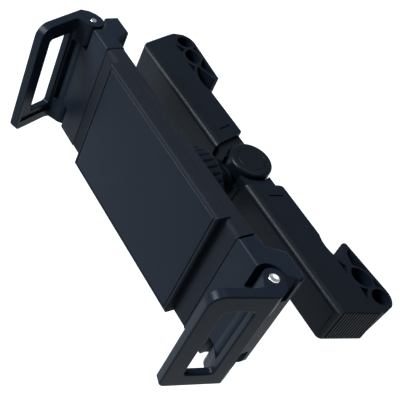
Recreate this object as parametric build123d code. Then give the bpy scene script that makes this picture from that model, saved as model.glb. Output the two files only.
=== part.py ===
from build123d import *
from math import acos, cos, pi, radians, sin, tan
import os

os.makedirs("parts", exist_ok=True)

# Rear bar: origin midway between the headrest posts, at the bar's mid-height
BAR_FRONT_Y = -22.5
BAR_BACK_Y = -4.5
BAR_HEIGHT = 19.1
BAR_TOP_EDGE_R = 2.8
BAR_BOTTOM_EDGE_R = 1.0
HOUSING_WALL = 1.5
HOUSING_INNER_X = 11.8
HOUSING_INNER_SLANT = 4.9
HOUSING_OUTER_X = 80.6
END_SLANT = 6.4
END_TOP_Y = -2.0
END_EDGE_R = 3.0
END_TAPER = 4.4
HOUSING_CAVITY_END_X = 54.0
CHANNEL_END_X = 47.0
CHANNEL_WALL = 1.5
SLIDE_GAP = 0.1
HOOK_APEX_X = 62.4
HOOK_APEX_Y = -1.0
HOOK_TIP_X = 52.0
HOOK_TIP_Y = 5.3
HOOK_TIP_DEPTH = 2.9
HOOK_TIP_R = 1.2
THROAT_START_X = 45.0
POCKET_DEPTH = 13.0
POCKET_RIM = 0.8
CORE_HOLE_R = 4.0
END_RIBS = 13
END_RIB_WIDTH = 0.7
END_RIB_PROUD = 0.45

# Dial and rear pinion
DIAL_Y = -11.0
DIAL_R = 10.2
DIAL_TOP_Z = 10.5
DIAL_BOTTOM_Z = 3.3
DIAL_CAP_R = 6.5
HUB_HALF_X = 9.6
HUB_TOP_Z = 2.9
HUB_BOTTOM_Z = -9.3
HUB_SCREW_X = 6.5
HUB_SCREW_Z = -6.6
REAR_PITCH_R = 3.4
REAR_TEETH = 12
REAR_RACK_START = -34.0
REAR_RACK_END = 4.0
SHAFT_R = 2.0
SHAFT_GAP = 0.05

# Ball joint
BALL_Y = -42.0
BALL_R = 8.5
BALL_GAP = 0.05
CUP_WALL = 1.2
CUP_FRONT = 7.5
CUP_BACK = 2.4
STUD_R = 4.0
STUD_FLANGE_R = 7.0
STUD_FLANGE_THICK = 2.0
SPIGOT_R = 3.0
COLLET_R = 12.4
COLLET_MOUTH_Y = -37.4
COLLET_MOUTH_R = 9.9
COLLET_SLOTS = 6
COLLET_SLOT_WIDTH = 1.2
NUT_R = 16.5
NUT_FRONT_Y = -48.0
NUT_BACK_Y = -34.0
NUT_RIDGES = 30
NUT_MOUTH_R = 7.8

# Sleeve of the clamp
CLAMP_Z = 4.65
SLEEVE_HALF_X = 51.2
SLEEVE_BACK_Y = -56.7
SLEEVE_DEPTH = 8.8
SLEEVE_HALF_Z = 28.2
SHELL_WALL = 1.6
SLEEVE_EDGE_R = 2.0
PANEL_INSET = 8.8
PANEL_PROUD = 3.4
PANEL_OVERLAP = 0.5
PANEL_RIM = 1.5
PANEL_THICK = 0.9
PANEL_GROOVE = 0.3
SCREW_X = 30.0
SCREW_EDGE = 4.2
SCREW_HEAD_R = 1.9
SCREW_HEAD_DEPTH = 0.8
SCREW_SHANK_R = 1.0
SCREW_SLOT_LENGTH = 2.4
SCREW_SLOT_WIDTH = 0.4
SCREW_SLOT_DEPTH = 0.5
SCREW_BOSS_WALL = 1.0

# Blocks, tongues and front pinion
BLOCK_GAP = 0.4
FLARE_START = 6.0
FLARE_RUN = 4.5
BLOCK_REACH = 23.4
BLOCK_RISE = 7.4
BLOCK_EDGE_R = 1.2
BLOCK_CORNER_RUN = 3.4
BLOCK_CORNER_RISE = 7.5
EAR_LENGTH = 11.7
FRONT_PITCH_R = 7.5
FRONT_TEETH = 16
FRONT_PINION_WIDTH = 3.8
TONGUE_GAP = 0.25
FINGER_SHORT = 7.2
GUIDE_TIP_X = 4.0
ROOT_DEPTH = 5.2
RACK_BAR_SHARE = 0.55
BOSS_GAP = 0.8
SPRING_PLAY = 0.05
SPRING_R = 1.4
SPRING_WIRE_R = 0.25
SPRING_TURNS = 9

# Hinges and arms
PIN_REACH = 19.5
PIN_DEPTH = 3.4
PIN_R = 1.5
PIN_HEAD_R = 2.2
PIN_HEAD_THICK = 0.6
PIN_END_RECESS = 0.3
PIN_FIT = 0.05
BARREL_R = 4.4
KNUCKLE_R = 4.6
KNUCKLE_SIDE_GAP = 0.25
BARREL_CLEARANCE = 0.4
RIGHT_LEAN = 16.5
LEFT_LEAN = 21.0
ARM_REACH = 26.0
ARM_OUTER = 8.2
ARM_RIM = 4.1
ARM_WEB = 3.2
ARM_SHORT = 0.2
ARM_TIP_R_UP = 6.0
ARM_TIP_R_DOWN = 2.5
WINDOW_START = 6.2
WINDOW_END = 18.2
WINDOW_LOW_MARGIN = 7.5
WINDOW_HIGH_MARGIN = 8.5

# Positions that follow from the sizes
SLEEVE_FRONT_Y = SLEEVE_BACK_Y - SLEEVE_DEPTH
PARTING_Y = SLEEVE_BACK_Y - SLEEVE_DEPTH / 2
PANEL_FRONT_Y = SLEEVE_FRONT_Y - PANEL_PROUD
PANEL_HALF_X = SLEEVE_HALF_X - PANEL_INSET
SCREW_Z = SLEEVE_HALF_Z - SCREW_EDGE
FLARE_START_X = SLEEVE_HALF_X + FLARE_START
FLARE_END_X = FLARE_START_X + FLARE_RUN
BLOCK_END_X = SLEEVE_HALF_X + BLOCK_REACH
BLOCK_BACK_Y = SLEEVE_BACK_Y + BLOCK_RISE
EAR_INNER_Z = SLEEVE_HALF_Z - EAR_LENGTH
FINGER_TIP_X = FINGER_SHORT - SLEEVE_HALF_X
ROOT_INNER_X = SLEEVE_HALF_X - ROOT_DEPTH
PIN_X = SLEEVE_HALF_X + PIN_REACH
PIN_Y = SLEEVE_FRONT_Y + PIN_DEPTH
ARM_HALF_Z = SLEEVE_HALF_Z - ARM_SHORT


def slab(x0, x1, y0, y1, z0, z1):
    """Box between two corners."""
    return Pos((x0 + x1) / 2, (y0 + y1) / 2, (z0 + z1) / 2) * Box(x1 - x0, y1 - y0, z1 - z0)


def rod_y(x, z, radius, y0, y1):
    """Cylinder along Y."""
    return Pos(x, (y0 + y1) / 2, z) * Rot(90, 0, 0) * Cylinder(radius, y1 - y0)


def rod_z(x, y, radius, z0, z1):
    """Cylinder along Z."""
    return Pos(x, y, (z0 + z1) / 2) * Cylinder(radius, z1 - z0)


def turned(points):
    """Solid of revolution about Y from (radius, y) points."""
    return revolve(make_face(Polyline(*points, close=True)), Axis.Y)


def plate_z(face, z0, z1):
    """Prism of a face in XY between two heights."""
    return Pos(0, 0, z0) * extrude(face, z1 - z0)


def half_turn_y(shape, z):
    """The shape turned half round about Y at height z."""
    return Pos(0, 0, z) * Rot(0, 180, 0) * Pos(0, 0, -z) * shape


def save(shape, name):
    shape.label = name
    export_step(shape, "parts/" + name + ".step")


# Gear teeth

PRESSURE_ANGLE = radians(20)
TOOTH_PLAY = 0.12


def gear_face(pitch_r, teeth):
    """Involute gear outline with a tooth space on +Y."""
    module = 2 * pitch_r / teeth
    base_r = pitch_r * cos(PRESSURE_ANGLE)
    tip_r = pitch_r + 0.8 * module
    root_r = pitch_r - 1.1 * module
    half_tooth = (pi * module / 2 - TOOTH_PLAY) / 2 / pitch_r
    points = []
    for i in range(teeth):
        middle = pi / 2 + (i + 0.5) * 2 * pi / teeth
        flank = []
        for radius in (max(base_r, root_r), (base_r + pitch_r) / 2, pitch_r, tip_r):
            angle = acos(min(1, base_r / radius))
            involute = tan(angle) - angle
            at_pitch = tan(PRESSURE_ANGLE) - PRESSURE_ANGLE
            flank.append((radius, half_tooth + at_pitch - involute))
        points.append((root_r, middle - flank[0][1]))
        for radius, offset in flank:
            points.append((radius, middle - offset))
        for radius, offset in reversed(flank):
            points.append((radius, middle + offset))
        points.append((root_r, middle + flank[0][1]))
    return make_face(Polyline(*[(r * cos(a), r * sin(a)) for r, a in points], close=True))


def rack_face(pitch_r, teeth, start, end, bar):
    """Rack above the gear, a tooth over x = 0 pointing down, with a bar of that height."""
    module = 2 * pitch_r / teeth
    pitch = pi * module
    tip = pitch_r - 0.8 * module
    root = pitch_r + 1.1 * module
    half = (pitch / 2 - TOOTH_PLAY) / 2
    first = int(start / pitch)
    last = int(end / pitch)
    points = [(start, root + bar), (start, root)]
    for i in range(first + 1, last):
        for side, height in ((-1, root), (-1, tip), (1, tip), (1, root)):
            points.append((i * pitch + side * (half + (height - pitch_r) * tan(PRESSURE_ANGLE)), height))
    points.extend([(end, root), (end, root + bar)])
    return make_face(Polyline(*points, close=True))


# Rear bar

half_bar = BAR_HEIGHT / 2
channel_front_y = BAR_FRONT_Y + HOUSING_WALL + SLIDE_GAP
channel_back_y = BAR_BACK_Y - HOUSING_WALL - SLIDE_GAP
channel_half_z = half_bar - HOUSING_WALL - SLIDE_GAP
rear_module = 2 * REAR_PITCH_R / REAR_TEETH
rail_bar = channel_back_y - DIAL_Y - REAR_PITCH_R - 1.1 * rear_module
rail_low_z = -3.0
rail_high_z = 1.2


def hub_shell():
    block = slab(-HUB_HALF_X, HUB_HALF_X, BAR_FRONT_Y, BAR_BACK_Y - HOUSING_WALL, HUB_BOTTOM_Z, HUB_TOP_Z)
    block = fillet(block.edges().filter_by(Axis.Z).sort_by(Axis.Y)[:2], 3.0)
    block += rod_z(0, DIAL_Y, DIAL_R - 1.2, HUB_BOTTOM_Z, HUB_TOP_Z) & slab(
        -DIAL_R, DIAL_R, BAR_FRONT_Y, BAR_BACK_Y - HOUSING_WALL, HUB_BOTTOM_Z, HUB_TOP_Z
    )
    block += slab(
        -CHANNEL_END_X, CHANNEL_END_X, channel_front_y, channel_back_y, -channel_half_z, channel_half_z
    )
    block -= rod_z(0, DIAL_Y, DIAL_R + 0.5, HUB_TOP_Z, half_bar)
    block -= slab(-6, 6, BAR_FRONT_Y - 1, 0, HUB_TOP_Z, half_bar)
    inner_z = channel_half_z - CHANNEL_WALL
    run_front_y = channel_front_y + CHANNEL_WALL
    for side in (-1, 1):
        near = side * (DIAL_R + 2.0)
        far = side * (CHANNEL_END_X + 1)
        block -= slab(min(near, far), max(near, far), run_front_y, 0, -inner_z, inner_z)
    block -= slab(-DIAL_R - 3, DIAL_R + 3, run_front_y, 0, -inner_z, HUB_TOP_Z - 1.5)
    guide_y = DIAL_Y - REAR_PITCH_R - 1.1 * rear_module - rail_bar - SLIDE_GAP
    for z in (rail_low_z + 0.8, rail_high_z - 0.8):
        block += slab(-CHANNEL_END_X, CHANNEL_END_X, run_front_y - 0.2, guide_y, z - 0.6, z + 0.6)
    block -= rod_y(0, 0, SPIGOT_R + SHAFT_GAP, BAR_FRONT_Y - 1, run_front_y + 3)
    block -= rod_z(0, DIAL_Y, SHAFT_R + SHAFT_GAP, HUB_BOTTOM_Z + 1.0, HUB_TOP_Z + 1)
    return block


def hub_cover():
    cover = slab(-HUB_HALF_X, HUB_HALF_X, BAR_BACK_Y - HOUSING_WALL, BAR_BACK_Y, HUB_BOTTOM_Z, HUB_TOP_Z - 0.2)
    cover = fillet(cover.edges().filter_by(Axis.Z).sort_by(Axis.Y)[-2:], 1.2)
    for x in (-HUB_SCREW_X, HUB_SCREW_X):
        cover -= rod_y(x, HUB_SCREW_Z, SCREW_HEAD_R, BAR_BACK_Y - SCREW_HEAD_DEPTH, BAR_BACK_Y + 1)
        cover -= rod_y(x, HUB_SCREW_Z, SCREW_SHANK_R, BAR_BACK_Y - 3, BAR_BACK_Y)
    return cover


def cross_screw(x, z, end_y, seat_y, head_y):
    """Small screw along Y with a cross slot in its head."""
    screw = rod_y(x, z, SCREW_HEAD_R - 0.1, seat_y, head_y)
    screw += rod_y(x, z, SCREW_SHANK_R - 0.05, end_y, seat_y + 0.1)
    half_length = SCREW_SLOT_LENGTH / 2
    half_width = SCREW_SLOT_WIDTH / 2
    floor = head_y - SCREW_SLOT_DEPTH
    screw -= slab(x - half_length, x + half_length, floor, head_y + 1, z - half_width, z + half_width)
    screw -= slab(x - half_width, x + half_width, floor, head_y + 1, z - half_length, z + half_length)
    return screw


def hub_screws():
    screws = Part()
    for x in (-HUB_SCREW_X, HUB_SCREW_X):
        seat_y = BAR_BACK_Y - SCREW_HEAD_DEPTH
        screws += cross_screw(x, HUB_SCREW_Z, BAR_BACK_Y - HOUSING_WALL, seat_y, BAR_BACK_Y - 0.1)
    return screws


end_outer_x = HOUSING_OUTER_X + END_SLANT


def housing_face():
    back_corner_x = HOUSING_INNER_X + HOUSING_INNER_SLANT
    rim = (end_outer_x - 8.0, HOOK_TIP_Y + 2.1)
    bowl = ((HOOK_APEX_X + THROAT_START_X) / 2 + 1.0, BAR_BACK_Y - 0.8)
    line = Line((HOUSING_INNER_X, BAR_FRONT_Y), (HOUSING_OUTER_X, BAR_FRONT_Y))
    line += Line((HOUSING_OUTER_X, BAR_FRONT_Y), (end_outer_x, END_TOP_Y))
    line += ThreePointArc((end_outer_x, END_TOP_Y), (end_outer_x - 1.6, 4.5), rim)
    line += Line(rim, (HOOK_TIP_X, HOOK_TIP_Y))
    line += Line((HOOK_TIP_X, HOOK_TIP_Y), (HOOK_TIP_X, HOOK_TIP_Y - HOOK_TIP_DEPTH))
    line += Line((HOOK_TIP_X, HOOK_TIP_Y - HOOK_TIP_DEPTH), (HOOK_APEX_X, HOOK_APEX_Y))
    line += ThreePointArc((HOOK_APEX_X, HOOK_APEX_Y), bowl, (THROAT_START_X, BAR_BACK_Y))
    line += Line((THROAT_START_X, BAR_BACK_Y), (back_corner_x, BAR_BACK_Y))
    line += Line((back_corner_x, BAR_BACK_Y), (HOUSING_INNER_X, BAR_FRONT_Y))
    return make_face(line)


def upright(body, x, y):
    """The vertical edge of a body at that place."""
    return body.edges().filter_by(Axis.Z).sort_by_distance((x, y, 0))[:1]


def hook_pockets():
    """Blind cores in the hook's top, their corners measured from its tip, its apex and its end face."""
    floor_z = half_bar - POCKET_DEPTH
    rim_y = HOOK_TIP_Y - POCKET_RIM
    tip_x, apex_x, end_x = HOOK_TIP_X, HOOK_APEX_X, end_outer_x
    lens_start = (apex_x + 1.6, HOOK_APEX_Y)
    lens_end = (end_x - 12.3, HOOK_APEX_Y + 2.8)
    lens = ThreePointArc(lens_start, (end_x - 18.4, rim_y - 0.6), lens_end)
    lens += ThreePointArc(lens_end, (end_x - 16.6, HOOK_APEX_Y - 2.6), lens_start)
    by_throat = [(apex_x - 3.8, BAR_BACK_Y - 0.9), (apex_x, HOOK_APEX_Y - 1.9), (apex_x + 3.6, BAR_BACK_Y - 0.9)]
    by_tip = [(tip_x + 3.0, rim_y), (tip_x + 5.2, rim_y - 2.5)]
    by_tip += [(apex_x + 0.1, HOOK_APEX_Y + 1.5), (apex_x + 5.4, rim_y + 1.0)]
    by_rim = [(end_x - 16.6, rim_y + 0.9), (end_x - 11.8, rim_y - 0.7), (end_x - 10.4, rim_y + 1.6)]
    by_end = [(end_x - 13.9, BAR_BACK_Y + 0.4), (end_x - 11.7, HOOK_APEX_Y + 0.1), (end_x - 7.6, BAR_BACK_Y - 0.3)]
    shape = rod_z(end_x - 6.8, rim_y - 2.5, CORE_HOLE_R, floor_z, half_bar + 1)
    for corners in (by_throat, by_tip, by_rim, by_end):
        shape += plate_z(make_face(Polyline(*corners, close=True)), floor_z, half_bar + 1)
    return shape + plate_z(make_face(lens), floor_z, half_bar + 1)


def top_edge_cut():
    """What rounds off the front top edge."""
    y = BAR_FRONT_Y + BAR_TOP_EDGE_R
    z = half_bar - BAR_TOP_EDGE_R
    end_x = end_outer_x + 5
    corner = slab(0, end_x, BAR_FRONT_Y - 1, y, z, half_bar + 1)
    return corner - Pos(end_x / 2, y, z) * Rot(0, 90, 0) * Cylinder(BAR_TOP_EDGE_R, end_x + 2)


def end_ribs():
    """Grip ribs on the slanting end face."""
    lower = Vector(HOUSING_OUTER_X, BAR_FRONT_Y, 0)
    upper = Vector(end_outer_x, END_TOP_Y, 0)
    slant = (upper - lower).normalized()
    turn = slant.get_signed_angle(Vector(0, 1, 0), Vector(0, 0, -1))
    ribs = Part()
    for i in range(END_RIBS):
        at = lower + (upper - lower) * (0.15 + 0.77 * i / (END_RIBS - 1))
        rib = Box(2 * END_RIB_PROUD, END_RIB_WIDTH, BAR_HEIGHT - 1.8)
        ribs += Pos(at.X, at.Y, 0.6) * Rot(0, 0, turn) * rib
    return ribs


def hook_housing():
    body = plate_z(housing_face(), -half_bar, half_bar)
    body = fillet(upright(body, HOUSING_OUTER_X, BAR_FRONT_Y), END_EDGE_R)
    body = fillet(upright(body, HOUSING_INNER_X + HOUSING_INNER_SLANT, BAR_BACK_Y), 2.0)
    body = fillet(upright(body, HOOK_TIP_X, HOOK_TIP_Y), HOOK_TIP_R)
    body = fillet(upright(body, HOOK_TIP_X, HOOK_TIP_Y - HOOK_TIP_DEPTH), HOOK_TIP_R)
    taper = Pos(end_outer_x - 0.3, 0.7, half_bar - 1.0) * Rot(0, 0, 16.6) * Rot(0, END_TAPER, 0)
    body -= taper * Pos(5, 0, -BAR_HEIGHT / 2) * Box(10, 20, BAR_HEIGHT + 8.0)
    body = fillet(body.faces().sort_by(Axis.Z)[0].edges(), BAR_BOTTOM_EDGE_R)
    body -= top_edge_cut()
    body += end_ribs()
    cavity_z = half_bar - HOUSING_WALL
    body -= slab(
        0, HOUSING_CAVITY_END_X, BAR_FRONT_Y + HOUSING_WALL, BAR_BACK_Y - HOUSING_WALL, -cavity_z, cavity_z
    )
    body -= hook_pockets()
    return body - Pos(21.3, -11.6, half_bar) * Rot(0, 0, -13.5) * Box(0.9, 7.2, 1.0)


def hook_rail(side):
    """Rack bar and foot of one hook; side 1 is the right one, whose rack runs in front of the pinion."""
    face = rack_face(REAR_PITCH_R, REAR_TEETH, REAR_RACK_START, REAR_RACK_END, rail_bar)
    bar_low = REAR_PITCH_R + 1.1 * rear_module
    face += Pos((REAR_RACK_END + HOUSING_CAVITY_END_X) / 2, bar_low + rail_bar / 2) * Rectangle(
        HOUSING_CAVITY_END_X - REAR_RACK_END, rail_bar
    )
    bar = plate_z(face, rail_low_z, rail_high_z)
    if side > 0:
        bar = mirror(bar, Plane.XZ)
    bar = Pos(0, DIAL_Y, 0) * bar
    foot = slab(
        CHANNEL_END_X + 1.5,
        HOUSING_CAVITY_END_X,
        BAR_FRONT_Y + HOUSING_WALL,
        BAR_BACK_Y - HOUSING_WALL,
        -half_bar + HOUSING_WALL,
        half_bar - HOUSING_WALL,
    )
    foot -= slab(CHANNEL_END_X + 1, HOUSING_CAVITY_END_X - 2.5, channel_front_y + 2, channel_back_y - 2, 2.5, 8)
    foot -= slab(CHANNEL_END_X + 1, HOUSING_CAVITY_END_X - 2.5, channel_front_y + 2, channel_back_y - 2, -8, -4.3)
    return bar + foot


# Dial


def dial_knob():
    knob = rod_z(0, DIAL_Y, DIAL_R, DIAL_BOTTOM_Z, DIAL_TOP_Z)
    knob = fillet(knob.edges().filter_by(GeomType.CIRCLE).sort_by(Axis.Z)[-1:], 1.3)
    knob -= rod_z(0, DIAL_Y, DIAL_R - 1.6, DIAL_BOTTOM_Z - 1, DIAL_TOP_Z - 3.0)
    knob += rod_z(0, DIAL_Y, SHAFT_R + 1.6, DIAL_BOTTOM_Z, DIAL_TOP_Z - 2.0)
    knob -= rod_z(0, DIAL_Y, SHAFT_R, DIAL_BOTTOM_Z - 1, DIAL_TOP_Z - 2.5)
    knob -= rod_z(0, DIAL_Y, DIAL_CAP_R + 0.1, DIAL_TOP_Z - 1.0, DIAL_TOP_Z + 1)
    return knob


def dial_cap():
    cap = rod_z(0, DIAL_Y, DIAL_CAP_R, DIAL_TOP_Z - 1.0, DIAL_TOP_Z)
    return fillet(cap.edges().filter_by(GeomType.CIRCLE).sort_by(Axis.Z)[-1:], 0.3)


def dial_pinion():
    wheel = plate_z(gear_face(REAR_PITCH_R, REAR_TEETH), rail_low_z, rail_high_z)
    wheel = Pos(0, DIAL_Y, 0) * wheel
    return wheel + rod_z(0, DIAL_Y, SHAFT_R, HUB_BOTTOM_Z + 1.2, DIAL_TOP_Z - 2.5)


# Ball joint

ball_seat_r = BALL_R + BALL_GAP
cup_outer_r = ball_seat_r + CUP_WALL
collet_seat_r = cup_outer_r + BALL_GAP


def ball_stud():
    stud = Pos(0, BALL_Y, 0) * Sphere(BALL_R)
    stud += rod_y(0, 0, STUD_R, BALL_Y + 2, BAR_FRONT_Y - STUD_FLANGE_THICK)
    flange_y = BAR_FRONT_Y - STUD_FLANGE_THICK
    stud += turned([(0, flange_y - 2.5), (STUD_R, flange_y - 2.5), (STUD_FLANGE_R - 1, flange_y), (0, flange_y)])
    stud += rod_y(0, 0, STUD_FLANGE_R, flange_y, BAR_FRONT_Y)
    return stud + rod_y(0, 0, SPIGOT_R, BAR_FRONT_Y - 1, channel_front_y + CHANNEL_WALL)


def friction_cup():
    cup = Pos(0, BALL_Y, 0) * (Sphere(cup_outer_r) - Sphere(ball_seat_r))
    wide = 2 * cup_outer_r
    return cup & slab(-wide, wide, BALL_Y - CUP_FRONT, BALL_Y + CUP_BACK, -wide, wide)


def socket_collet():
    collet = turned(
        [
            (0, SLEEVE_BACK_Y),
            (COLLET_R + 2.6, SLEEVE_BACK_Y),
            (COLLET_R + 2.6, SLEEVE_BACK_Y + 2.2),
            (COLLET_R, SLEEVE_BACK_Y + 3.4),
            (COLLET_R, BALL_Y + 1.5),
            (COLLET_MOUTH_R, COLLET_MOUTH_Y),
            (0, COLLET_MOUTH_Y),
        ]
    )
    collet -= Pos(0, BALL_Y, 0) * Sphere(collet_seat_r)
    for i in range(COLLET_SLOTS):
        slot = slab(0, COLLET_R + 5, BALL_Y - 3, COLLET_MOUTH_Y + 1, -COLLET_SLOT_WIDTH / 2, COLLET_SLOT_WIDTH / 2)
        collet -= Rot(0, i * 360 / COLLET_SLOTS, 0) * slot
    return collet


def ring_nut():
    play = 0.3
    nut = turned(
        [
            (COLLET_R + 0.08, NUT_FRONT_Y),
            (NUT_R - 1.0, NUT_FRONT_Y),
            (NUT_R, NUT_FRONT_Y + 1.0),
            (NUT_R, NUT_BACK_Y - 2.2),
            (NUT_R - 2.6, NUT_BACK_Y),
            (NUT_MOUTH_R + 1.4, NUT_BACK_Y),
            (NUT_MOUTH_R, NUT_BACK_Y - 1.4),
            (NUT_MOUTH_R, COLLET_MOUTH_Y + play),
            (COLLET_MOUTH_R + play, COLLET_MOUTH_Y + play),
            (COLLET_R + 0.08, BALL_Y + 1.5 + play),
        ]
    )
    for i in range(NUT_RIDGES):
        groove = Pos(NUT_R + 0.25, 0, 0) * Rot(0, 45, 0) * slab(-0.7, 0.7, NUT_FRONT_Y - 1, NUT_BACK_Y - 1.6, -0.7, 0.7)
        nut -= Rot(0, i * 360 / NUT_RIDGES, 0) * groove
    return nut


# Sleeve

low_z = CLAMP_Z - SLEEVE_HALF_Z
high_z = CLAMP_Z + SLEEVE_HALF_Z
run_front_y = SLEEVE_FRONT_Y + SHELL_WALL
run_back_y = SLEEVE_BACK_Y - SHELL_WALL
run_half_z = SLEEVE_HALF_Z - SHELL_WALL
panel_half_z = SLEEVE_HALF_Z + PANEL_OVERLAP
screw_spots = [(sx * SCREW_X, CLAMP_Z + sz * SCREW_Z) for sx in (-1, 1) for sz in (-1, 1)]
rack_root = FRONT_PITCH_R + 2.2 * FRONT_PITCH_R / FRONT_TEETH
spring_room = 2 * (SPRING_R + SPRING_WIRE_R + SPRING_PLAY)
guide_high = SCREW_Z - SCREW_SHANK_R - SCREW_BOSS_WALL - BOSS_GAP
rack_bar = RACK_BAR_SHARE * (guide_high - rack_root - spring_room)
guide_low = rack_root + rack_bar + spring_room
spring_z = rack_root + rack_bar + spring_room / 2


def sleeve_body(y0, y1):
    body = slab(-SLEEVE_HALF_X, SLEEVE_HALF_X, SLEEVE_FRONT_Y, SLEEVE_BACK_Y, low_z, high_z)
    body = fillet(body.edges().filter_by(Axis.X), SLEEVE_EDGE_R)
    return body & slab(-SLEEVE_HALF_X, SLEEVE_HALF_X, y0, y1, low_z, high_z)


def front_shell():
    shell = sleeve_body(SLEEVE_FRONT_Y, PARTING_Y)
    frame = slab(
        -PANEL_HALF_X, PANEL_HALF_X, PANEL_FRONT_Y, SLEEVE_FRONT_Y + 2.2, CLAMP_Z - panel_half_z, CLAMP_Z + panel_half_z
    )
    frame = chamfer(frame.faces().sort_by(Axis.Y)[0].edges(), 0.6)
    shell += frame
    shell -= slab(
        -SLEEVE_HALF_X - 1, SLEEVE_HALF_X + 1, run_front_y, PARTING_Y + 1, CLAMP_Z - run_half_z, CLAMP_Z + run_half_z
    )
    inner_x = PANEL_HALF_X - SHELL_WALL
    inner_z = run_half_z - 1.0
    floor_y = PANEL_FRONT_Y + PANEL_THICK + 1.2
    shell -= slab(-inner_x, inner_x, floor_y, run_front_y + 1, CLAMP_Z - inner_z, CLAMP_Z + inner_z)
    recess_x = PANEL_HALF_X - PANEL_RIM
    recess_z = panel_half_z - PANEL_RIM
    shell -= slab(
        -recess_x, recess_x, PANEL_FRONT_Y - 1, PANEL_FRONT_Y + PANEL_THICK, CLAMP_Z - recess_z, CLAMP_Z + recess_z
    )
    for x, z in screw_spots:
        shell += rod_y(x, z, SCREW_SHANK_R + SCREW_BOSS_WALL, floor_y - 0.5, PARTING_Y)
        shell -= rod_y(x, z, SCREW_SHANK_R, floor_y + 1, PARTING_Y + 1)
    shell += rod_y(0, CLAMP_Z, SHAFT_R + 1.8, floor_y - 0.5, run_front_y + 0.4)
    shell -= rod_y(0, CLAMP_Z, SHAFT_R + SHAFT_GAP, floor_y + 0.5, run_front_y + 1)
    return shell


def front_panel():
    half_x = PANEL_HALF_X - PANEL_RIM - PANEL_GROOVE
    half_z = panel_half_z - PANEL_RIM - PANEL_GROOVE
    panel = slab(
        -half_x, half_x, PANEL_FRONT_Y, PANEL_FRONT_Y + PANEL_THICK, CLAMP_Z - half_z, CLAMP_Z + half_z
    )
    return chamfer(panel.faces().sort_by(Axis.Y)[0].edges(), 0.25)


def back_shell():
    shell = sleeve_body(PARTING_Y, SLEEVE_BACK_Y)
    shell -= slab(
        -SLEEVE_HALF_X - 1, SLEEVE_HALF_X + 1, PARTING_Y - 1, run_back_y, CLAMP_Z - run_half_z, CLAMP_Z + run_half_z
    )
    for x, z in screw_spots:
        shell += rod_y(x, z, SCREW_SHANK_R + SCREW_BOSS_WALL, PARTING_Y, run_back_y + 0.5)
        shell -= rod_y(x, z, SCREW_SHANK_R, PARTING_Y - 1, SLEEVE_BACK_Y + 1)
        shell -= rod_y(x, z, SCREW_HEAD_R, SLEEVE_BACK_Y - 1.0, SLEEVE_BACK_Y + 1)
    shell += rod_y(0, CLAMP_Z, SHAFT_R + 1.8, run_back_y - 0.4, run_back_y + 0.5)
    shell -= rod_y(0, CLAMP_Z, SHAFT_R + SHAFT_GAP, run_back_y - 1, SLEEVE_BACK_Y - 0.4)
    for side in (-1, 1):
        shell += rod_y(side * 2.4, CLAMP_Z + side * spring_z, 1.1, run_front_y + 0.2, run_back_y + 0.5)
    return shell


def shell_screws():
    screws = Part()
    for x, z in screw_spots:
        screws += cross_screw(x, z, PARTING_Y - 3, SLEEVE_BACK_Y - 1.0, SLEEVE_BACK_Y - 0.1)
    return screws


def front_pinion():
    wheel = Rot(90, 0, 0) * plate_z(gear_face(FRONT_PITCH_R, FRONT_TEETH), -FRONT_PINION_WIDTH / 2, FRONT_PINION_WIDTH / 2)
    wheel = Pos(0, PARTING_Y, CLAMP_Z) * wheel
    end_front = PANEL_FRONT_Y + PANEL_THICK + 1.8
    return wheel + rod_y(0, CLAMP_Z, SHAFT_R, end_front, SLEEVE_BACK_Y - 0.5)


# Blocks and tongues

finger_front_y = run_front_y + TONGUE_GAP
finger_back_y = run_back_y - TONGUE_GAP
block_inner_x = SLEEVE_HALF_X + BLOCK_GAP


def block_face():
    line = Polyline(
        (block_inner_x, SLEEVE_FRONT_Y),
        (PIN_X, SLEEVE_FRONT_Y),
        (PIN_X, PIN_Y),
        (BLOCK_END_X, PIN_Y + 3.0),
        (BLOCK_END_X, BLOCK_BACK_Y),
        (FLARE_END_X, BLOCK_BACK_Y),
        (FLARE_START_X, SLEEVE_BACK_Y),
        (block_inner_x, SLEEVE_BACK_Y),
        close=True,
    )
    return make_face(line)


def ear_cut_face():
    """Room for one ear of the arm: a notch in front, a round recess and an open outer side."""
    notch_x = PIN_X - KNUCKLE_R - 2.0
    reach = KNUCKLE_R + 0.6
    wall = (BLOCK_END_X - 1.4, PIN_Y + reach + 3.8)
    line = Line((notch_x, SLEEVE_FRONT_Y - 5), (notch_x, PIN_Y))
    line += ThreePointArc((notch_x, PIN_Y), (PIN_X - reach * 0.8, PIN_Y + reach * 0.72), (PIN_X, PIN_Y + reach))
    line += Line((PIN_X, PIN_Y + reach), wall)
    line += Line(wall, (BLOCK_END_X + 8, wall[1] + 1.0))
    line += Line((BLOCK_END_X + 8, wall[1] + 1.0), (BLOCK_END_X + 8, SLEEVE_FRONT_Y - 5))
    line += Line((BLOCK_END_X + 8, SLEEVE_FRONT_Y - 5), (notch_x, SLEEVE_FRONT_Y - 5))
    return make_face(line)


def corner_cut():
    """Rounds the outer end off at one ear."""
    foot = (BLOCK_END_X - BLOCK_CORNER_RUN, low_z)
    top = (BLOCK_END_X, low_z + BLOCK_CORNER_RISE)
    middle = (BLOCK_END_X - 0.25 * BLOCK_CORNER_RUN, low_z + 0.35 * BLOCK_CORNER_RISE)
    line = ThreePointArc(foot, middle, top) + Line(top, (BLOCK_END_X + 3, top[1]))
    line += Line((BLOCK_END_X + 3, top[1]), (BLOCK_END_X + 3, low_z - 2))
    line += Line((BLOCK_END_X + 3, low_z - 2), (foot[0], low_z - 2)) + Line((foot[0], low_z - 2), foot)
    return Pos(0, BLOCK_BACK_Y + 5, 0) * extrude(Plane.XZ * make_face(line), 20)


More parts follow.
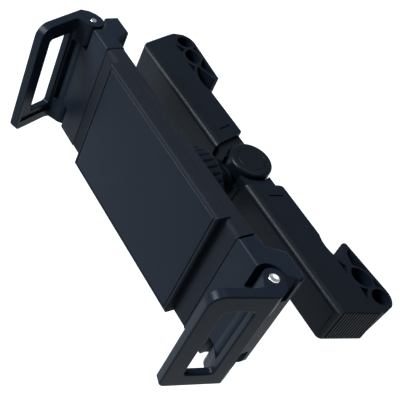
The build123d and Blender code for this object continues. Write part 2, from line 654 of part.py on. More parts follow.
def block():
    body = plate_z(block_face(), low_z, high_z)
    body = fillet(body.edges().filter_by(Axis.Z).sort_by(Axis.X)[-2:], 2.0)
    ends = body.faces().filter_by(Axis.Z)
    body = fillet(ends.edges(), BLOCK_EDGE_R)
    body -= corner_cut()
    body += rod_z(PIN_X, PIN_Y, BARREL_R, CLAMP_Z - EAR_INNER_Z, CLAMP_Z + EAR_INNER_Z)
    for z0, z1 in ((low_z - 1, CLAMP_Z - EAR_INNER_Z), (CLAMP_Z + EAR_INNER_Z, high_z + 1)):
        body -= plate_z(ear_cut_face(), z0, z1)
    body -= rod_z(PIN_X, PIN_Y, PIN_R, low_z, high_z)
    core_x0 = FLARE_END_X + 0.3
    core_x1 = BLOCK_END_X - BLOCK_CORNER_RUN
    ribs = 4
    step = (2 * SLEEVE_HALF_Z - 4.0) / ribs
    for i in range(ribs):
        z0 = low_z + 2.0 + i * step + 0.75
        body -= slab(core_x0, core_x1, BLOCK_BACK_Y - 5.5, BLOCK_BACK_Y + 1, z0, z0 + step - 1.5)
    slot_z = run_half_z - TONGUE_GAP
    body -= slab(
        block_inner_x - 1, FLARE_START_X, finger_front_y, finger_back_y, CLAMP_Z - slot_z, CLAMP_Z + slot_z
    )
    return body


def tongue():
    face = rack_face(FRONT_PITCH_R, FRONT_TEETH, FINGER_TIP_X, GUIDE_TIP_X, rack_bar)
    bar = Rot(90, 0, 0) * plate_z(face, -finger_back_y, -finger_front_y)
    slot_z = run_half_z - TONGUE_GAP
    shape = Pos(0, 0, CLAMP_Z) * bar
    shape += slab(
        GUIDE_TIP_X, FLARE_START_X, finger_front_y, finger_back_y, CLAMP_Z + rack_root, CLAMP_Z + rack_root + rack_bar
    )
    shape += slab(
        ROOT_INNER_X, FLARE_START_X, finger_front_y, finger_back_y, CLAMP_Z - slot_z, CLAMP_Z + slot_z
    )
    shape += slab(
        GUIDE_TIP_X, ROOT_INNER_X, finger_front_y, finger_back_y, CLAMP_Z + guide_low, CLAMP_Z + guide_high
    )
    shape += slab(
        GUIDE_TIP_X, ROOT_INNER_X, finger_front_y, finger_back_y, CLAMP_Z - guide_high, CLAMP_Z - guide_low
    )
    return shape


def return_spring():
    start_x = GUIDE_TIP_X + SPRING_WIRE_R
    length = ROOT_INNER_X - SPRING_WIRE_R - start_x
    steps = 8 * SPRING_TURNS
    points = []
    for i in range(steps + 1):
        angle = 2 * pi * i / 8
        points.append((start_x + length * i / steps, SPRING_R * cos(angle), SPRING_R * sin(angle)))
    coil = Polyline(*points)
    profile = Plane(coil @ 0, z_dir=coil % 0) * RegularPolygon(SPRING_WIRE_R, 5)
    return Pos(0, PARTING_Y, CLAMP_Z + spring_z) * sweep(profile, path=coil, transition=Transition.RIGHT)


def hinge_pin():
    """Pin with a domed head at the top and a plain, slightly sunk end at the bottom."""
    pin = rod_z(PIN_X, PIN_Y, PIN_R, low_z + PIN_END_RECESS, high_z - PIN_HEAD_THICK)
    head = rod_z(PIN_X, PIN_Y, PIN_HEAD_R, high_z - PIN_HEAD_THICK, high_z)
    head = fillet(head.edges().filter_by(GeomType.CIRCLE).sort_by(Axis.Z)[-1:], PIN_HEAD_THICK * 0.5)
    return pin + head


# Arms


def arm_ear_face():
    """Ear in the arm's own frame: round the pin, into the plate, hollowed on the inner side."""
    outline = Polyline(
        (0, KNUCKLE_R),
        (2.6, KNUCKLE_R - 0.2),
        (5.6, 3.0),
        (ARM_OUTER, 0),
        (ARM_OUTER, -9.0),
        (ARM_RIM, -9.0),
        (ARM_RIM, -7.5),
        (3.6, -5.3),
        (1.8, -4.9),
        (0, -KNUCKLE_R),
        close=True,
    )
    return make_face(outline) + Circle(KNUCKLE_R)


def arm_local(pin_head_up=True):
    """Arm standing straight out of its pin: x outward, -y along the arm."""
    web_inner = ARM_OUTER - ARM_WEB
    plate = slab(ARM_RIM, ARM_OUTER, -ARM_REACH, 0, -ARM_HALF_Z, ARM_HALF_Z)
    tip_edges = plate.edges().filter_by(Axis.X).sort_by(Axis.Y)[:2].sort_by(Axis.Z)
    plate = fillet(tip_edges[-1:], ARM_TIP_R_UP)
    tip_edges = plate.edges().filter_by(Axis.X).sort_by(Axis.Y)[:4].sort_by(Axis.Z)
    plate = fillet(tip_edges[:1], ARM_TIP_R_DOWN)
    ear_z = EAR_INNER_Z + KNUCKLE_SIDE_GAP
    plate -= rod_z(0, 0, BARREL_R + BARREL_CLEARANCE, -ear_z, ear_z)
    for z0, z1 in ((-ARM_HALF_Z, -ear_z), (ear_z, ARM_HALF_Z)):
        plate += plate_z(arm_ear_face(), z0, z1)
    plate -= slab(
        ARM_RIM - 5, web_inner, -ARM_REACH + 2.0, -WINDOW_START + 1.0, -ARM_HALF_Z + 4.5, ARM_HALF_Z - 2.0
    )
    window_low = WINDOW_LOW_MARGIN - ARM_HALF_Z
    window_high = ARM_HALF_Z - WINDOW_HIGH_MARGIN
    window = slab(ARM_RIM - 1, ARM_OUTER + 1, -WINDOW_END, -WINDOW_START, window_low, window_high)
    plate -= fillet(window.edges().filter_by(Axis.X), 1.5)
    plate -= rod_z(0, 0, PIN_R + PIN_FIT, -ARM_HALF_Z - 1, ARM_HALF_Z + 1)
    seat_z = SLEEVE_HALF_Z - PIN_HEAD_THICK - 0.1
    if pin_head_up:
        return plate - rod_z(0, 0, PIN_HEAD_R + 0.1, seat_z, ARM_HALF_Z + 1)
    return plate - rod_z(0, 0, PIN_HEAD_R + 0.1, -ARM_HALF_Z - 1, -seat_z)


def right_arm():
    return Pos(PIN_X, PIN_Y, CLAMP_Z) * Rot(0, 0, -RIGHT_LEAN) * arm_local()


def left_arm():
    return Pos(-PIN_X, PIN_Y, CLAMP_Z) * Rot(0, 0, LEFT_LEAN) * mirror(arm_local(pin_head_up=False), Plane.YZ)


def build():
    save(hub_shell(), "hub_shell")
    save(hub_cover(), "hub_cover")
    save(hub_screws(), "hub_screws")
    save(dial_knob(), "dial_knob")
    save(dial_cap(), "dial_cap")
    save(dial_pinion(), "dial_pinion")
    save(hook_housing(), "right_hook")
    save(mirror(hook_housing(), Plane.YZ), "left_hook")
    save(hook_rail(1), "right_hook_rail")
    save(mirror(hook_rail(-1), Plane.YZ), "left_hook_rail")
    save(ball_stud(), "ball_stud")
    save(friction_cup(), "friction_cup")
    save(socket_collet(), "socket_collet")
    save(ring_nut(), "ring_nut")
    save(front_shell(), "front_shell")
    save(front_panel(), "front_panel")
    save(back_shell(), "back_shell")
    save(shell_screws(), "shell_screws")
    save(front_pinion(), "front_pinion")
    save(block(), "right_block")
    save(half_turn_y(block(), CLAMP_Z), "left_block")
    save(tongue(), "right_tongue")
    save(half_turn_y(tongue(), CLAMP_Z), "left_tongue")
    save(return_spring(), "right_spring")
    save(half_turn_y(return_spring(), CLAMP_Z), "left_spring")
    save(hinge_pin(), "right_hinge_pin")
    save(half_turn_y(hinge_pin(), CLAMP_Z), "left_hinge_pin")
    save(right_arm(), "right_arm")
    save(left_arm(), "left_arm")


build()
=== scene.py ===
import bmesh
import bpy
import numpy as np
from mathutils import Matrix, Vector


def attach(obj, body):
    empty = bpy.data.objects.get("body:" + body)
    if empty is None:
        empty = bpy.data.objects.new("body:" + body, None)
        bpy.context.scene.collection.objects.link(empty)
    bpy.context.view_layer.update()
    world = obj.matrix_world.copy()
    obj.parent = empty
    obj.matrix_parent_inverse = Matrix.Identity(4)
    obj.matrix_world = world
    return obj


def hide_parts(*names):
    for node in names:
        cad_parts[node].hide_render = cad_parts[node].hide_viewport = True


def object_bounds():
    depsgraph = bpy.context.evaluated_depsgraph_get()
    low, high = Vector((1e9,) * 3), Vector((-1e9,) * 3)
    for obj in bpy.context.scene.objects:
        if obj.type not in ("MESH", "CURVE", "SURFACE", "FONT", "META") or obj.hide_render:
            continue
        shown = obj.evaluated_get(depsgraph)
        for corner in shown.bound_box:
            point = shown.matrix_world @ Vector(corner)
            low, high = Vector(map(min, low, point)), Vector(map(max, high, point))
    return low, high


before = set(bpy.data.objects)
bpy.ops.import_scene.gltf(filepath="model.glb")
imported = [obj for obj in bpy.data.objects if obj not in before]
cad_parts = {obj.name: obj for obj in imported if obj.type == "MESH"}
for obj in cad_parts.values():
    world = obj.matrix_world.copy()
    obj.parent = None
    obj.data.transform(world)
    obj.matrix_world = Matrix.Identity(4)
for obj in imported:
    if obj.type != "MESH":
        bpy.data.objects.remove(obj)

bl_info = {
    "name": "Headrest phone holder",
    "version": (1, 0, 0),
    "blender": (4, 5, 0),
    "location": "View3D > Sidebar > Phone Holder",
    "description": "Dresses the headrest phone holder: moulded plastic, steel pins, turned and knurled parts",
    "category": "Object",
}

CAD_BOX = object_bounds()
MM = 0.001
DIAL_CENTRE = (0.0, -11.0 * MM, 0.0)
CLAMP_Z = 4.65 * MM
PIN_X = 70.7 * MM
PIN_Y = -62.1 * MM
ARM_ROOT_R = 4.8 * MM
ARM_ROOT_CLOSER_R = 4.45 * MM
ARM_ROOT_HALF_Z = 16.8 * MM
ARM_FACE = 7.9 * MM


# Shader maths


class Value:
    """A shader socket that adds the Math nodes of the expression it stands in."""

    def __init__(self, paint, socket):
        self.paint = paint
        self.socket = socket

    def _join(self, operation, first, second):
        made = self.paint.node("ShaderNodeMath", {"operation": operation}, {0: first, 1: second})
        return Value(self.paint, made.outputs[0])

    def __add__(self, other):
        return self._join("ADD", self, other)

    def __radd__(self, other):
        return self._join("ADD", other, self)

    def __sub__(self, other):
        return self._join("SUBTRACT", self, other)

    def __mul__(self, other):
        return self._join("MULTIPLY", self, other)

    def over(self, low, high):
        """0 below low and 1 above high, in a straight run between."""
        made = self.paint.node(
            "ShaderNodeMapRange", {"clamp": True}, {0: self, 1: low, 2: high, 3: 0.0, 4: 1.0}
        )
        return Value(self.paint, made.outputs[0])


class Paint:
    """One material and the nodes in it."""

    def __init__(self, name):
        self.material = bpy.data.materials.new(name)
        self.material.use_nodes = True
        self.tree = self.material.node_tree
        self.tree.nodes.clear()
        self.place = self.node("ShaderNodeTexCoord").outputs["Object"]

    def node(self, kind, settings=None, inputs=None):
        """Adds a node: its settings first, then the values or links of its sockets."""
        made = self.tree.nodes.new(kind)
        for key, value in (settings or {}).items():
            setattr(made, key, value)
        for key, value in (inputs or {}).items():
            if isinstance(value, Value):
                self.tree.links.new(value.socket, made.inputs[key])
            elif isinstance(value, bpy.types.NodeSocket):
                self.tree.links.new(value, made.inputs[key])
            else:
                made.inputs[key].default_value = value
        return made

    def noise(self, scale, detail=2.0, rough=0.5, stretch=None):
        """Noise of that many cells to the metre, 0 to 1."""
        place = self.place
        if stretch:
            place = self.node("ShaderNodeMapping", None, {"Vector": place, "Scale": stretch}).outputs[0]
        made = self.node(
            "ShaderNodeTexNoise", None, {"Vector": place, "Scale": scale, "Detail": detail, "Roughness": rough}
        )
        return Value(self, made.outputs[0])

    def cells(self, scale):
        """Distance to the nearest of that many cells to the metre."""
        made = self.node("ShaderNodeTexVoronoi", None, {"Vector": self.place, "Scale": scale})
        return Value(self, made.outputs["Distance"])

    def mix(self, share, first, second):
        """The first colour, and the second by that share."""
        made = self.node("ShaderNodeMix", {"data_type": "RGBA"}, {0: share, 6: first, 7: second})
        return made.outputs[2]

    def bumps(self, height, strength, distance):
        """Normal of a relief that deep, in metres."""
        inputs = {"Height": height, "Strength": strength, "Distance": distance}
        return self.node("ShaderNodeBump", None, inputs).outputs[0]

    def finish(self, inputs):
        """Ends the material in one Principled surface with these inputs."""
        surface = self.node("ShaderNodeBsdfPrincipled", None, inputs)
        out = self.node("ShaderNodeOutputMaterial")
        self.tree.links.new(surface.outputs[0], out.inputs["Surface"])
        return self.material


def shade(colour, factor):
    """The colour made lighter or darker."""
    return tuple(min(1.0, part * factor) for part in colour[:3]) + (1.0,)


def moulded_plastic(name, colour, roughness, grain_depth, grain_scale, index):
    """Black injection-moulded plastic: spark-eroded grain, slow changes of sheen, and faint rubbed spots."""
    paint = Paint(name)
    cloud = paint.noise(55.0, 3.0)
    fine = paint.noise(grain_scale, 2.0, 0.6)
    pits = paint.cells(grain_scale * 0.9)
    rubbed = paint.noise(160.0, 4.0, 0.65).over(0.56, 0.72)
    tone = paint.mix(cloud, shade(colour, 0.86), shade(colour, 1.16))
    tone = paint.mix(rubbed * 0.22, tone, shade(colour, 1.55))
    rough = roughness + (cloud - 0.5) * 0.10 + (fine - 0.5) * 0.08 - rubbed * 0.05
    grain = paint.bumps(fine * 0.6 + pits * 0.4, 0.35, grain_depth)
    return paint.finish({"Base Color": tone, "Roughness": rough, "Normal": grain, "IOR": index})


def smooth_plastic(name, colour, roughness, index):
    """Polished-tool plastic: nearly flat, with slow waves, fine dust specks and a few hair scratches."""
    paint = Paint(name)
    wave = paint.noise(28.0, 2.0)
    cloud = paint.noise(90.0, 4.0, 0.6)
    dust = paint.noise(2600.0, 1.0).over(0.66, 0.78)
    hair = paint.noise(420.0, 2.0, 0.7, (1.0, 1.0, 22.0)).over(0.60, 0.70)
    tone = paint.mix(wave, shade(colour, 0.93), shade(colour, 1.08))
    tone = paint.mix(dust * 0.25, tone, shade(colour, 2.6))
    rough = roughness + (cloud - 0.5) * 0.09 + hair * 0.035 + dust * 0.10
    skin = paint.bumps(wave * 0.7 + cloud * 0.06, 0.25, 0.00012)
    return paint.finish({"Base Color": tone, "Roughness": rough, "Normal": skin, "IOR": index})


def bright_steel(name, colour, roughness, turned):
    """Steel with fine turned or drawn lines and a little tarnish."""
    paint = Paint(name)
    lines = paint.noise(900.0, 3.0, 0.7, turned)
    tarnish = paint.noise(700.0, 3.0)
    tone = paint.mix(tarnish, shade(colour, 0.82), shade(colour, 1.05))
    rough = roughness + (lines - 0.5) * 0.16 + (tarnish - 0.5) * 0.10
    return paint.finish(
        {"Base Color": tone, "Metallic": 1.0, "Roughness": rough, "Normal": paint.bumps(lines, 0.25, 0.00003)}
    )


MATERIALS = {}


def make_materials(look):
    blue = tuple(look.plastic_colour)
    # Name, colour, roughness, depth of the grain, its cells to the metre, index of refraction
    moulded = (
        ("bar", shade(blue, 0.6), look.bar_roughness, 0.00020, 2700.0, 1.15),
        ("sleeve", look.sleeve_colour, look.sleeve_roughness, 0.00002, 6500.0, 1.09),
        ("block", shade(blue, 1.05), look.block_roughness, 0.00002, 6500.0, 1.125),
        ("dial", shade(blue, 0.55), 0.30, 0.00003, 5200.0, 1.17),
        ("nut", shade(blue, 0.9), 0.42, 0.00004, 4500.0, 1.12),
        ("inner", shade(blue, 0.5), 0.5, 0.00003, 5000.0, 1.08),
    )
    for name, colour, roughness, depth, cells, index in moulded:
        MATERIALS[name] = moulded_plastic(name + "_plastic", colour, roughness, depth, cells, index)
    # Name, colour, roughness, index of refraction
    smooth = (
        ("panel", shade(blue, 0.93), look.panel_roughness, 1.10),
        ("arm", shade(blue, 0.95), look.panel_roughness, 1.125),
        ("polished", shade(blue, 0.4), 0.3, 1.1),
    )
    for name, colour, roughness, index in smooth:
        MATERIALS[name] = smooth_plastic(name + "_plastic", colour, roughness, index)
    MATERIALS["pin"] = bright_steel("pin_steel", (0.72, 0.72, 0.73), 0.2, (1.0, 1.0, 0.15))
    MATERIALS["screw"] = bright_steel("screw_steel", (0.20, 0.20, 0.21), 0.36, (1.0, 1.0, 1.0))


def dress(node, finish):
    """Gives a node of the frame its material."""
    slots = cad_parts[node].data.materials
    slots.clear()
    slots.append(MATERIALS[finish])


def softened(node, body, finish, width, fitted=None, share=None):
    """The node's own faces, merged, with every sharp edge rounded by the width as a mould leaves it.

    fitted(grid) prepares a wide rounding: it may move points, and gives the edges that stay in flat faces.
    share(edge) is the part of the width that an edge gets then.
    """
    mesh = bpy.data.meshes.new(node + "_soft")
    grid = bmesh.new()
    grid.from_mesh(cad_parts[node].data)
    bmesh.ops.remove_doubles(grid, verts=grid.verts[:], dist=0.000002)
    kept = fitted(grid) if fitted else set()
    corners = {corner for edge in kept for corner in edge.verts}
    bmesh.ops.dissolve_limit(
        grid,
        angle_limit=np.radians(0.6),
        use_dissolve_boundaries=False,
        verts=[vert for vert in grid.verts if vert not in corners],
        edges=[edge for edge in grid.edges if edge not in kept],
    )
    bmesh.ops.recalc_face_normals(grid, faces=grid.faces[:])
    for face in grid.faces:
        face.smooth = True
    weights = grid.edges.layers.float.new("bevel_weight_edge")
    for edge in grid.edges:
        if len(edge.link_faces) == 2 and edge.calc_face_angle() > np.radians(32.0):
            edge[weights] = share(edge) if share else 1.0
    grid.to_mesh(mesh)
    grid.free()
    piece = bpy.data.objects.new(node + "_moulded", mesh)
    bpy.context.scene.collection.objects.link(piece)
    mesh.materials.append(MATERIALS[finish])
    bevel = piece.modifiers.new("rounded edges", "BEVEL")
    bevel.width = width
    bevel.segments = 3
    bevel.limit_method = "WEIGHT"
    bevel.use_clamp_overlap = fitted is None
    weight = piece.modifiers.new("flat faces stay flat", "WEIGHTED_NORMAL")
    weight.mode = "FACE_AREA_WITH_ANGLE"
    weight.weight = 100
    weight.keep_sharp = True
    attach(piece, body)
    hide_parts(node)
    return piece


# Turned surfaces


def arc(centre, radius, start, end, steps):
    """Points of a circular arc in a profile, the angles in degrees from the radius axis."""
    angles = np.radians(np.linspace(start, end, steps))
    return [(centre[0] + radius * np.cos(a), centre[1] + radius * np.sin(a)) for a in angles]


def turned(name, profile, centre, axis, columns, relief=None):
    """A closed surface of revolution.

    Row i, column j of the grid lies at x = r_i cos a_j, y = r_i sin a_j, z = h_i, with a_j = 2 pi j / columns,
    where (r_i, h_i) are the profile's points in millimetres; relief(a, r, h) is added to r where it is given.
    The z of that frame is then laid along the axis. A profile that ends on the axis closes in one point there;
    one that returns to its start closes into a ring.
    """
    points = np.array(profile, dtype=float)
    ring = bool(np.allclose(points[0], points[-1]))
    if ring:
        points = points[:-1]
    angles = 2.0 * np.pi * np.arange(columns) / columns
    radius = np.repeat(points[:, :1], columns, axis=1)
    height = np.repeat(points[:, 1:], columns, axis=1)
    if relief is not None:
        radius = radius + relief(angles[None, :], radius, height)
    grid = np.stack([radius * np.cos(angles), radius * np.sin(angles), height], axis=2)
    if axis == "Y":
        grid = np.stack([grid[..., 0], grid[..., 2], -grid[..., 1]], axis=2)
    grid = grid * MM + np.array(centre)
    places = []
    index = np.zeros(radius.shape, dtype=int)
    for i in range(len(points)):
        if abs(points[i, 0]) < 1e-9:
            index[i, :] = len(places)
            places.append(grid[i, 0])
        else:
            index[i, :] = len(places) + np.arange(columns)
            places.extend(grid[i])
    faces = []
    rows = len(points) if ring else len(points) - 1
    for i in range(rows):
        low, high = index[i], index[(i + 1) % len(points)]
        for j in range(columns):
            k = (j + 1) % columns
            corners = [int(low[j]), int(low[k]), int(high[k]), int(high[j])]
            face = []
            for corner in corners:
                if corner not in face:
                    face.append(corner)
            if len(face) > 2:
                faces.append(face)
    mesh = bpy.data.meshes.new(name)
    mesh.from_pydata([tuple(place) for place in places], [], faces)
    shaped = bmesh.new()
    shaped.from_mesh(mesh)
    bmesh.ops.recalc_face_normals(shaped, faces=shaped.faces[:])
    for face in shaped.faces:
        face.smooth = True
    shaped.to_mesh(mesh)
    shaped.free()
    mesh.set_sharp_from_angle(angle=np.radians(38.0))
    piece = bpy.data.objects.new(name, mesh)
    bpy.context.scene.collection.objects.link(piece)
    return piece


def settle(piece, finish, body, slot, *nodes):
    """Gives a made piece its material and its body, and hides the nodes that it replaces. The slot is not used.
    """
    piece.data.materials.append(MATERIALS[finish])
    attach(piece, body)
    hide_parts(*nodes)


# Sizes and colours


class HolderLook(bpy.types.PropertyGroup):
    """Finish of the plastic."""

    plastic_colour: bpy.props.FloatVectorProperty(
        name="Plastic colour", description="Base colour of the black plastic", subtype="COLOR", size=3,
        min=0.0, max=1.0, default=(0.0037, 0.0062, 0.0108),
    )
    sleeve_colour: bpy.props.FloatVectorProperty(
        name="Sleeve colour", description="Base colour of the two sleeve shells", subtype="COLOR", size=3,
        min=0.0, max=1.0, default=(0.0062, 0.0078, 0.0112),
    )
    bar_roughness: bpy.props.FloatProperty(
        name="Bar roughness", description="Roughness of the grained rear bar", min=0.0, max=1.0, default=0.35
    )
    sleeve_roughness: bpy.props.FloatProperty(
        name="Sleeve roughness", description="Roughness of the two sleeve shells", min=0.0, max=1.0, default=0.6
    )
    block_roughness: bpy.props.FloatProperty(
        name="Block roughness", description="Roughness of the two end blocks", min=0.0, max=1.0, default=0.42
    )
    panel_roughness: bpy.props.FloatProperty(
        name="Panel roughness", description="Roughness of the panel and arms", min=0.0, max=1.0, default=0.30
    )
    edge_width: bpy.props.FloatProperty(
        name="Edge rounding", description="Rounding of the moulded edges", unit="LENGTH",
        min=0.0, default=0.35 * MM,
    )


class HolderStage(bpy.types.PropertyGroup):
    """Floor, lights and camera."""

    floor_gap: bpy.props.FloatProperty(
        name="Floor gap", description="Floor's distance under the lowest point", unit="LENGTH", default=0.12
    )
    floor_colour: bpy.props.FloatVectorProperty(
        name="Floor colour", description="Colour of the floor in the lamps' light", subtype="COLOR", size=3,
        min=0.0, max=1.0, default=(0.12, 0.12, 0.12),
    )
    glow_colour: bpy.props.FloatVectorProperty(
        name="Glow colour", description="Colour of the floor's own even glow", subtype="COLOR", size=3,
        min=0.0, max=1.0, default=(0.88, 0.96, 1.0),
    )
    glow: bpy.props.FloatProperty(
        name="Floor glow", description="Strength of the floor's own even glow", min=0.0, default=1.15
    )
    key_power: bpy.props.FloatProperty(
        name="Key light", description="Power of the soft light in front", unit="POWER", min=0.0, default=24.0
    )
    overhead_power: bpy.props.FloatProperty(
        name="Overhead light", description="Power of the wide light over the floor", unit="POWER",
        min=0.0, default=18.0,
    )
    sky_colour: bpy.props.FloatVectorProperty(
        name="Surround colour", description="Colour of the even light from all round", subtype="COLOR", size=3,
        min=0.0, max=1.0, default=(0.86, 0.94, 1.0),
    )
    sky: bpy.props.FloatProperty(
        name="Surround", description="Strength of the even light from all round", min=0.0, default=0.35
    )


# Pieces


class HOLDER_OT_materials(bpy.types.Operator):
    """Make the plastics and steels"""

    bl_idname = "phone_holder.materials"
    bl_label = "Materials"

    def execute(self, context):
        make_materials(context.scene.holder_look)
        return {"FINISHED"}


class HOLDER_OT_rear_bar(bpy.types.Operator):
    """Dress the hub and the two hook housings of the rear bar"""

    bl_idname = "phone_holder.rear_bar"
    bl_label = "Rear bar"

    def execute(self, context):
        width = context.scene.holder_look.edge_width
        softened("left_hook", "left_hook_slide_body", "bar", width)
        softened("right_hook", "right_hook_slide_body", "bar", width)
        softened("hub_shell", "rear_hub", "bar", width)
        softened("hub_cover", "rear_hub", "bar", width * 0.5)
        dress("left_hook_rail", "inner")
        dress("right_hook_rail", "inner")
        dress("hub_screws", "screw")
        return {"FINISHED"}


class HOLDER_OT_dial(bpy.types.Operator):
    """Dress the dial, its cap and its pinion"""

    bl_idname = "phone_holder.dial"
    bl_label = "Dial"

    def execute(self, context):
        top, bottom, outer = 10.5, 3.3, 10.2
        skirt_inner, boss_outer, shaft_bore = 8.6, 3.6, 2.0
        recess, seat, cap_outer = 6.62, top - 1.0, 6.5
        knob = [(0.0, seat), (recess, seat), (recess, top - 0.18)]
        knob += arc((recess + 0.16, top - 0.16), 0.16, 180, 90, 4)
        knob += arc((outer - 1.5, top - 1.5), 1.5, 90, 0, 12)
        knob += [(outer, top - 3.0), (outer, bottom + 0.4)]
        knob += arc((outer - 0.4, bottom + 0.4), 0.4, 0, -90, 5)
        knob += [(skirt_inner, bottom), (skirt_inner, top - 3.0), (boss_outer, top - 3.0), (boss_outer, bottom)]
        knob += [(shaft_bore, bottom), (shaft_bore, top - 2.5), (0.0, top - 2.5)]
        piece = turned("dial_knob_turned", knob, DIAL_CENTRE, "Z", 96)
        settle(piece, "dial", "dial", "dial_plastic", "dial_knob")
        cap = [(0.0, seat), (cap_outer, seat), (cap_outer, top - 0.2)]
        cap += arc((cap_outer - 0.2, top - 0.2), 0.2, 0, 90, 4)
        cap += [(6.0, top), (4.0, top - 0.02), (2.0, top - 0.04), (0.0, top - 0.05)]
        piece = turned("dial_cap_turned", cap, DIAL_CENTRE, "Z", 96)
        settle(piece, "dial", "dial", "dial_plastic", "dial_cap")
        dress("dial_pinion", "inner")
        return {"FINISHED"}


class HOLDER_OT_ball_joint(bpy.types.Operator):
    """Dress the ball stud, the cup, the collet and the ring nut"""

    bl_idname = "phone_holder.ball_joint"
    bl_label = "Ball joint"

    def execute(self, context):
        width = context.scene.holder_look.edge_width
        ball_y, ball_r, neck_r, flange_r, spigot_r = -42.0, 8.5, 4.0, 7.0, 3.0
        flange_back, spigot_end = -22.5, -19.4
        neck_start = np.sqrt(ball_r ** 2 - neck_r ** 2)
        stud = arc((0.0, ball_y), ball_r, -90, np.degrees(np.arctan2(neck_start, neck_r)), 26)
        stud += [(neck_r, ball_y + neck_start + 0.6), (neck_r, -27.0)]
        stud += [(neck_r + 0.2, -26.6), (5.9, -24.7), (flange_r - 0.2, -24.45)]
        stud += arc((flange_r - 0.3, -24.2), 0.3, -60, 0, 4)
        stud += [(flange_r, flange_back - 0.25), (flange_r - 0.25, flange_back), (spigot_r, flange_back)]
        stud += [(spigot_r, spigot_end), (0.0, spigot_end)]
        stud[0] = (0.0, stud[0][1])
        piece = turned("ball_stud_turned", stud, (0, 0, 0), "Y", 64)
        settle(piece, "polished", "stud", "dial_plastic", "ball_stud")

        dress("friction_cup", "inner")
        softened("socket_collet", "sleeve", "sleeve", width * 0.5)

        front, back, outer, mouth = -48.0, -34.0, 16.5, 7.8
        thread_r, cone_start, cone_end = 12.5, -40.3, -37.1

        def ridges(angle, radius, height):
            """Thirty shallow rounded grooves, faded out towards both rims."""
            wave = (0.5 + 0.5 * np.cos(30.0 * angle)) ** 4
            inside = np.clip((radius - outer + 2.0) / 1.4, 0.0, 1.0)
            fade = np.clip((height - front) / 0.8, 0.0, 1.0) * np.clip((back - 1.2 - height) / 0.8, 0.0, 1.0)
            return -0.7 * wave * inside * fade

        nut = [(thread_r, front), (outer - 1.2, front)]
        nut += arc((outer - 1.0, front + 1.0), 1.0, -85, 0, 6)
        nut += [(outer, h) for h in np.linspace(front + 1.4, back - 3.0, 9)]
        nut += arc((outer - 2.3, back - 2.3), 2.3, 0, 90, 9)
        nut += [(12.0, back), (9.4, back), (9.1, back - 0.1), (mouth + 0.1, back - 1.2), (mouth, back - 1.5)]
        nut += [(mouth, cone_end), (10.2, cone_end), (thread_r, cone_start), (thread_r, front)]
        piece = turned("ring_nut_knurled", nut, (0, 0, 0), "Y", 360, ridges)
        settle(piece, "nut", "nut", "dial_plastic", "ring_nut")
        return {"FINISHED"}


class HOLDER_OT_sleeve(bpy.types.Operator):
    """Dress the sleeve with its frame and panel"""

    bl_idname = "phone_holder.sleeve"
    bl_label = "Sleeve"

    def execute(self, context):
        width = context.scene.holder_look.edge_width
        softened("front_shell", "sleeve", "sleeve", width)
        softened("back_shell", "sleeve", "sleeve", width * 0.5)
        softened("front_panel", "sleeve", "panel", width * 0.3)
        dress("shell_screws", "screw")
        dress("front_pinion", "inner")
        return {"FINISHED"}


class HOLDER_OT_blocks(bpy.types.Operator):
    """Dress the two end blocks with their tongues, springs and hinge pins"""

    bl_idname = "phone_holder.blocks"
    bl_label = "Blocks"

    def execute(self, context):
        width = context.scene.holder_look.edge_width
        radius, head, low, seat, top = 1.5, 2.2, -27.9, 27.6, 28.2
        for side in ("left", "right"):
            softened(side + "_block", side + "_block_body", "block", width)
            dress(side + "_tongue", "inner")
            dress(side + "_spring", "screw")
            facing = 1.0 if side == "right" else -1.0
            pin = [(0.0, low), (radius - 0.3, low), (radius, low + 0.3), (radius, seat)]
            pin += [(head, seat), (head, top - 0.35)]
            pin += arc((head - 0.35, top - 0.35), 0.35, 0, 90, 6)
            pin += [(1.2, top), (1.05, top - 0.08), (0.6, top - 0.18), (0.0, top - 0.2)]
            pin = [(r, facing * h) for r, h in pin]
            centre = (facing * PIN_X, PIN_Y, CLAMP_Z)
            piece = turned(side + "_hinge_pin_turned", pin, centre, "Z", 40)
            settle(piece, "pin", side + "_block_body", "pin_steel", side + "_hinge_pin")
        return {"FINISHED"}


class HOLDER_OT_arms(bpy.types.Operator):
    """Dress the two folding arms"""

    bl_idname = "phone_holder.arms"
    bl_label = "Arms"

    def execute(self, context):
        width = context.scene.holder_look.edge_width * 2.0
        for side, facing, lean in (("left", -1.0, np.radians(21.0)), ("right", 1.0, np.radians(16.5))):

            def outward(vert):
                """Distance from the pin across the arm: facing dx cos(lean) - dy sin(lean)."""
                return facing * (vert.co.x - facing * PIN_X) * np.cos(lean) - (vert.co.y - PIN_Y) * np.sin(lean)

            def share(edge):
                """The outer face is rounded in full, the hollow behind it less."""
                return 1.0 if min(outward(vert) for vert in edge.verts) > ARM_FACE else 0.35

            def fitted(grid):
                """Brings the root close to the block's barrel and splits the plate at mid-height."""
                for vert in grid.verts:
                    across = Vector((vert.co.x - facing * PIN_X, vert.co.y - PIN_Y))
                    at_root = abs(across.length - ARM_ROOT_R) < 0.03 * MM
                    if at_root and abs(vert.co.z - CLAMP_Z) < ARM_ROOT_HALF_Z:
                        closer = across * (ARM_ROOT_CLOSER_R / ARM_ROOT_R)
                        vert.co.x = facing * PIN_X + closer.x
                        vert.co.y = PIN_Y + closer.y
                parts = grid.verts[:] + grid.edges[:] + grid.faces[:]
                cut = bmesh.ops.bisect_plane(grid, geom=parts, plane_co=(0, 0, CLAMP_Z), plane_no=(0, 0, 1))
                return {part for part in cut["geom_cut"] if isinstance(part, bmesh.types.BMEdge)}

            softened(side + "_arm", side + "_arm_body", "arm", width, fitted, share)
        return {"FINISHED"}


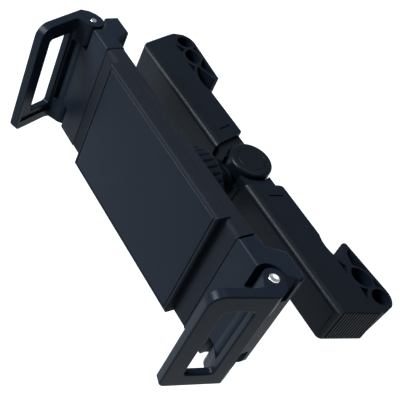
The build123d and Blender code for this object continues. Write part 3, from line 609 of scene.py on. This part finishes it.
class HOLDER_OT_stage(bpy.types.Operator):
    """Set the floor, the soft lights and the camera"""

    bl_idname = "phone_holder.stage"
    bl_label = "Stage"

    def execute(self, context):
        stage = context.scene.holder_stage
        floor_z = CAD_BOX[0][2] - stage.floor_gap
        corners = [(x, y, floor_z) for x, y in ((-60, -60), (60, -60), (60, 60), (-60, 60))]
        mesh = bpy.data.meshes.new("floor")
        mesh.from_pydata(corners, [], [(0, 1, 2, 3)])
        floor = bpy.data.objects.new("floor", mesh)
        context.scene.collection.objects.link(floor)
        paint = Paint("floor_paint")
        cloud = paint.noise(3.0)
        pale = tuple(stage.floor_colour) + (1.0,)
        tone = paint.mix(cloud, shade(pale, 0.985), pale)
        glow = {"Emission Color": tuple(stage.glow_colour) + (1.0,), "Emission Strength": stage.glow}
        mesh.materials.append(
            paint.finish({"Base Color": tone, "Roughness": 0.9, "Specular IOR Level": 0.1, **glow})
        )

        world = bpy.data.worlds.new("studio")
        context.scene.world = world
        world.use_nodes = True
        background = world.node_tree.nodes["Background"]
        background.inputs["Color"].default_value = tuple(stage.sky_colour) + (1.0,)
        background.inputs["Strength"].default_value = stage.sky

        for name, spot, size, power in (
            ("key", (-0.42, -0.62, 0.53), 0.42, stage.key_power),
            ("overhead", (-0.2, 0.3, 1.7), 1.6, stage.overhead_power),
        ):
            lamp = bpy.data.lights.new(name, "AREA")
            lamp.shape = "SQUARE"
            lamp.size = size
            lamp.energy = power
            light = bpy.data.objects.new(name, lamp)
            light.location = spot
            light.rotation_euler = (Vector((0, -0.03, 0)) - Vector(spot)).to_track_quat("-Z", "Y").to_euler()
            context.scene.collection.objects.link(light)

        context.scene.view_settings.view_transform = "Standard"

        lens = bpy.data.cameras.new("photo")
        lens.sensor_width = 36.0
        lens.lens = 818.54 / 400.0 * 36.0
        lens.clip_start = 0.01
        camera = bpy.data.objects.new("photo", lens)
        right = Vector((0.498548, 0.789195, 0.358638))
        up = Vector((-0.729066, 0.157920, 0.665976))
        back = Vector((0.468949, -0.593492, 0.654105))
        turn = Matrix((right, up, back)).transposed()
        camera.matrix_world = Matrix.Translation((0.169912, -0.244415, 0.224754)) @ turn.to_4x4()
        context.scene.collection.objects.link(camera)
        context.scene.camera = camera
        return {"FINISHED"}


class HOLDER_PT_panel(bpy.types.Panel):
    """Lists the holder's sizes, colours and pieces"""

    bl_idname = "HOLDER_PT_panel"
    bl_label = "Phone holder"
    bl_space_type = "VIEW_3D"
    bl_region_type = "UI"
    bl_category = "Phone Holder"

    def draw(self, context):
        for group in (context.scene.holder_look, context.scene.holder_stage):
            for name in group.__annotations__:
                self.layout.prop(group, name)
        for step in STEPS:
            self.layout.operator(step.bl_idname)


STEPS = (
    HOLDER_OT_materials,
    HOLDER_OT_rear_bar,
    HOLDER_OT_dial,
    HOLDER_OT_ball_joint,
    HOLDER_OT_sleeve,
    HOLDER_OT_blocks,
    HOLDER_OT_arms,
    HOLDER_OT_stage,
)
CLASSES = (HolderLook, HolderStage) + STEPS + (HOLDER_PT_panel,)


def register():
    for kind in CLASSES:
        bpy.utils.register_class(kind)
    bpy.types.Scene.holder_look = bpy.props.PointerProperty(type=HolderLook)
    bpy.types.Scene.holder_stage = bpy.props.PointerProperty(type=HolderStage)


def unregister():
    del bpy.types.Scene.holder_stage
    del bpy.types.Scene.holder_look
    for kind in reversed(CLASSES):
        bpy.utils.unregister_class(kind)


def main():
    register()
    for step in STEPS:
        group, name = step.bl_idname.split(".")
        getattr(getattr(bpy.ops, group), name)()


if __name__ == "__main__":
    main()
